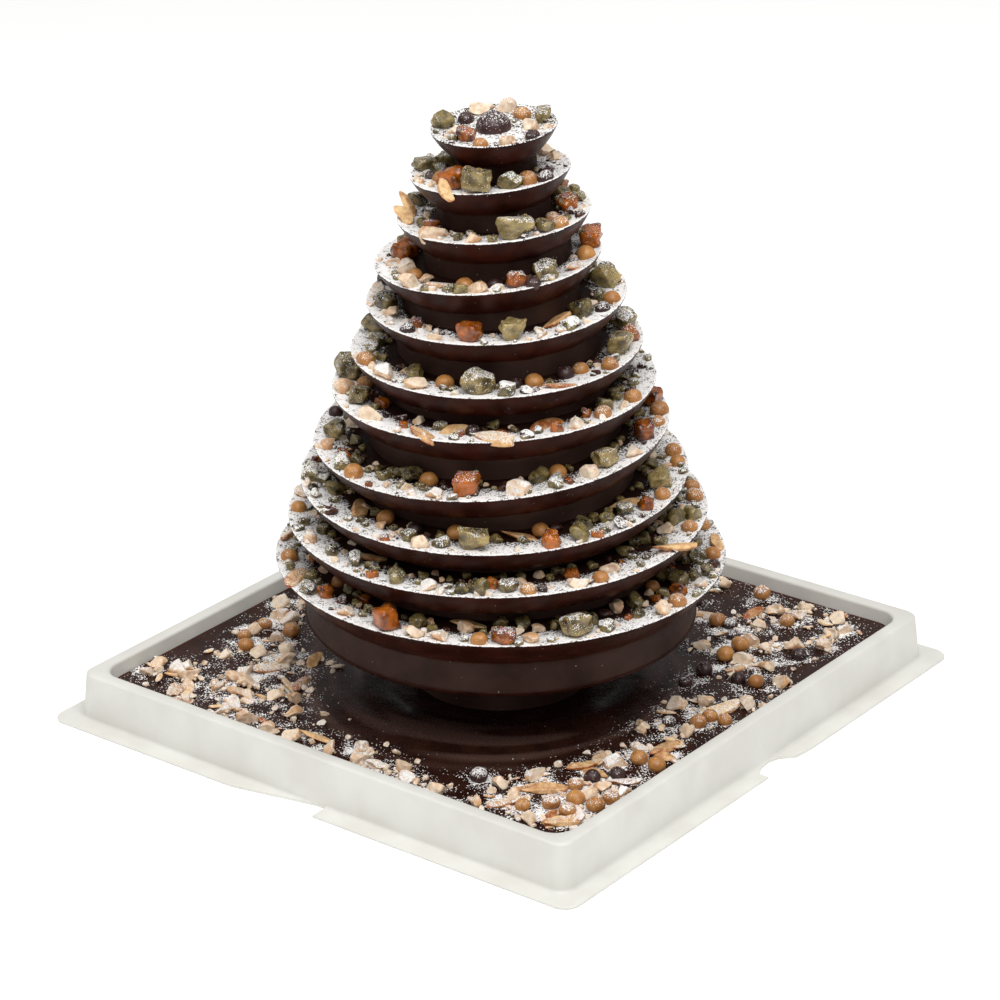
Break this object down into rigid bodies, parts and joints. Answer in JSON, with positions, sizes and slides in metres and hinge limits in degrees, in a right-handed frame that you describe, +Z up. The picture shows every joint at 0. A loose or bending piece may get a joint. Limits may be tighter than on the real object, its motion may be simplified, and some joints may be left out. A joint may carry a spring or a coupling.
{
  "type": "chocolate christmas tree",
  "caption": "Round dished dark-chocolate tiers stacked into a tree, with nuts, candied fruit, pearls and icing sugar, on a chocolate slab in a white tray.",
  "frame": {"origin": "under the middle of the tray, on the surface it stands on", "axes": "+Z up; X and Y along the tray's sides, with the pictured front corner at +X -Y"},
  "size_m": [0.264, 0.264, 0.2519],
  "materials": {
    "white_tray": "satin white pressed plastic",
    "dark_chocolate": "moulded dark chocolate, satin, shinier on the rim bands and the slab",
    "candied_green": "candied fruit, translucent, sugar-crusted",
    "candied_orange": "candied orange peel, translucent, moist",
    "dark_pearl": "dark chocolate crisp pearl, satin",
    "caramel_pearl": "caramel chocolate crisp pearl, satin",
    "chopped_nut": "chopped blanched nut, dry",
    "toasted_almond": "toasted almond flake, dry",
    "icing_sugar": "dusted icing sugar, powdery"
  },
  "bodies": {
    "root": {"chocolate_base": "dark_chocolate", "green_lump_01": "candied_green", "green_lump_02": "candied_green", "green_lump_03": "candied_green", "green_lump_04": "candied_green", "green_lump_05": "candied_green", "green_lump_06": "candied_green", "green_lump_07": "candied_green", "green_lump_08": "candied_green", "green_lump_09": "candied_green", "green_lump_10": "candied_green", "green_lump_11": "candied_green", "green_lump_12": "candied_green", "green_lump_13": "candied_green", "green_lump_14": "candied_green", "green_lump_15": "candied_green", "green_lump_16": "candied_green", "green_lump_17": "candied_green", "green_lump_18": "candied_green", "green_lump_19": "candied_green", "green_lump_20": "candied_green", "green_lump_21": "candied_green", "green_lump_22": "candied_green", "green_lump_23": "candied_green", "green_lump_24": "candied_green", "green_lump_25": "candied_green", "green_lump_26": "candied_green", "green_lump_27": "candied_green", "orange_cube_01": "candied_orange", "orange_cube_02": "candied_orange", "orange_cube_03": "candied_orange", "orange_cube_04": "candied_orange", "orange_cube_05": "candied_orange", "orange_cube_06": "candied_orange", "orange_cube_07": "candied_orange", "orange_cube_08": "candied_orange", "stem": "dark_chocolate", "tier_01": "dark_chocolate", "tier_02": "dark_chocolate", "tier_03": "dark_chocolate", "tier_04": "dark_chocolate", "tier_05": "dark_chocolate", "tier_06": "dark_chocolate", "tier_07": "dark_chocolate", "tier_08": "dark_chocolate", "tier_09": "dark_chocolate", "tier_10": "dark_chocolate", "tier_11": "dark_chocolate", "top_ball": "dark_pearl", "tray": "white_tray"}
  },
  "joints": []
}
